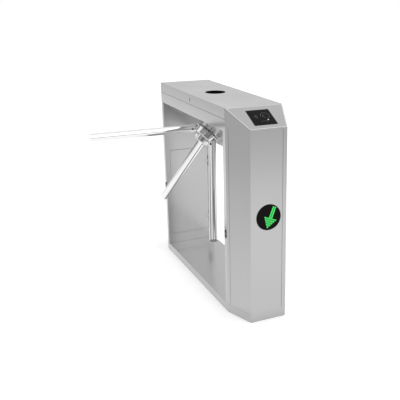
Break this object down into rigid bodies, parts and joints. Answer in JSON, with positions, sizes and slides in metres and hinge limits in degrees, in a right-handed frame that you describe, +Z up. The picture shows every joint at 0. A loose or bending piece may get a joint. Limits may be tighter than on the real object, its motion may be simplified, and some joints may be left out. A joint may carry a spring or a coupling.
{
  "type": "visitor counter turnstile",
  "caption": "Bridge-shaped steel tripod turnstile with tapered ends, sloping card reader tops, round direction lights and a three-arm hub on a slanted face under the beam.",
  "frame": {"origin": "on the floor, in the middle of the four floor bolts, under the middle of the cabinet", "axes": "+Z up; +Y along the cabinet from the front end to the rear end; +X across it, away from the arms"},
  "size_m": [0.7863, 1.202, 0.9808],
  "materials": {
    "steel": "brushed stainless sheet, fine vertical grain, satin",
    "hub_steel": "cast and ground stainless, half bright",
    "arm_chrome": "polished stainless tube",
    "knuckle": "turned stainless, satin",
    "dark_window": "smoked acrylic, glossy",
    "lens": "smoked black acrylic, glossy",
    "black_plastic": "moulded black plastic",
    "board": "green circuit board lacquer",
    "zinc": "zinc plated steel",
    "bright_steel": "machined steel, lightly oiled",
    "lock_metal": "plated die casting",
    "lock_dark": "black zinc plated die casting, satin",
    "coil": "dark enamelled coil frame"
  },
  "bodies": {
    "cabinet": {"anchor_plates": "zinc", "base_plinth": "steel", "beam_housing": "steel", "bearing_housing": "zinc", "cable_grommets": "black_plastic", "card_readers": "black_plastic", "controller_board": "board", "counting_sensor": "black_plastic", "damper": "black_plastic", "door_hinge_leaves": "zinc", "door_hinge_pins": "zinc", "door_lock_barrels": "lock_dark", "front_indicator_lens": "lens", "front_leg_shell": "steel", "front_reader_window": "dark_window", "front_slope_panel": "steel", "indicator_boards": "board", "left_solenoid": "coil", "lid_hinge_leaves": "zinc", "lid_hinge_pins": "zinc", "lid_strike": "zinc", "mechanism_plate": "zinc", "mechanism_studs": "zinc", "pawl_pins": "zinc", "power_supply": "black_plastic", "rear_indicator_lens": "lens", "rear_leg_shell": "steel", "rear_reader_window": "dark_window", "rear_slope_panel": "steel", "right_solenoid": "coil", "shaft_bearings": "bright_steel"},
    "tripod": {"hub": "hub_steel", "hub_cap": "hub_steel", "arm_1_tube": "arm_chrome", "arm_2_tube": "arm_chrome", "arm_3_tube": "arm_chrome", "arm_1_knuckle": "knuckle", "arm_2_knuckle": "knuckle", "arm_3_knuckle": "knuckle", "arm_end_caps": "arm_chrome", "arm_bolts": "arm_chrome", "main_shaft": "bright_steel", "locking_wheel": "bright_steel", "shaft_gear": "bright_steel", "counting_disc": "bright_steel"},
    "damper_rotor": {"damper_pinion": "bright_steel"},
    "left_pawl": {"left_pawl": "bright_steel"},
    "right_pawl": {"right_pawl": "bright_steel"},
    "left_plunger": {"left_plunger": "bright_steel"},
    "right_plunger": {"right_plunger": "bright_steel"},
    "lid": {"top_lid": "steel", "top_disc": "dark_window", "lid_lock_barrel": "lock_metal"},
    "lid_lock": {"lid_lock_plug": "lock_metal"},
    "front_door": {"front_leg_door": "steel"},
    "rear_door": {"rear_leg_door": "steel"},
    "front_door_lock": {"front_door_lock_plug": "lock_metal"},
    "rear_door_lock": {"rear_door_lock_plug": "lock_metal"}
  },
  "joints": [
    {"name": "tripod_spin", "type": "hinge", "parent": "cabinet", "child": "tripod", "pos_m": [-0.047, 0, 0.783], "axis": [-0.7071, 0, -0.7071], "continuous": true},
    {"name": "damper_spin", "type": "hinge", "parent": "cabinet", "child": "damper_rotor", "pos_m": [0.07109, 0, 0.81058], "axis": [-0.7071, 0, -0.7071], "continuous": true},
    {"name": "left_pawl_turn", "type": "hinge", "parent": "cabinet", "child": "left_pawl", "pos_m": [-0.01208, -0.0783, 0.86829], "axis": [-0.7071, 0, -0.7071], "range_deg": [0, 8.5], "stiffness_Nm_per_rad": 2, "springref_deg": -8.59},
    {"name": "right_pawl_turn", "type": "hinge", "parent": "cabinet", "child": "right_pawl", "pos_m": [-0.01208, 0.0783, 0.86829], "axis": [0.7071, 0, 0.7071], "range_deg": [0, 8.5], "stiffness_Nm_per_rad": 2, "springref_deg": -8.59},
    {"name": "left_plunger_slide", "type": "slide", "parent": "cabinet", "child": "left_plunger", "axis": [-0.6124, -0.5, 0.6124], "range_m": [0, 0.003]},
    {"name": "right_plunger_slide", "type": "slide", "parent": "cabinet", "child": "right_plunger", "axis": [-0.6124, 0.5, 0.6124], "range_m": [0, 0.003]},
    {"name": "lid_swing", "type": "hinge", "parent": "cabinet", "child": "lid", "pos_m": [0.1443, 0, 0.93], "axis": [0, 1, 0], "range_deg": [0, 95]},
    {"name": "lid_lock_turn", "type": "hinge", "parent": "lid", "child": "lid_lock", "pos_m": [-0.14, 0, 0.951], "axis": [1, 0, 0], "range_deg": [0, 90]},
    {"name": "front_door_swing", "type": "hinge", "parent": "cabinet", "child": "front_door", "pos_m": [0.118, -0.4187, 0.348], "axis": [0, 0, -1], "range_deg": [0, 110]},
    {"name": "rear_door_swing", "type": "hinge", "parent": "cabinet", "child": "rear_door", "pos_m": [0.118, 0.4187, 0.348], "axis": [0, 0, 1], "range_deg": [0, 110]},
    {"name": "front_door_lock_turn", "type": "hinge", "parent": "cabinet", "child": "front_door_lock", "pos_m": [-0.14, -0.4365, 0.395], "axis": [1, 0, 0], "range_deg": [0, 90]},
    {"name": "rear_door_lock_turn", "type": "hinge", "parent": "cabinet", "child": "rear_door_lock", "pos_m": [-0.14, 0.4365, 0.395], "axis": [-1, 0, 0], "range_deg": [0, 90]}
  ],
  "couplings": [
    {"joint": "damper_spin", "follows": "tripod_spin", "ratio": -3},
    {"joint": "left_plunger_slide", "follows": "left_pawl_turn", "m_per_rad": 0.0202},
    {"joint": "right_plunger_slide", "follows": "right_pawl_turn", "m_per_rad": 0.0202}
  ]
}
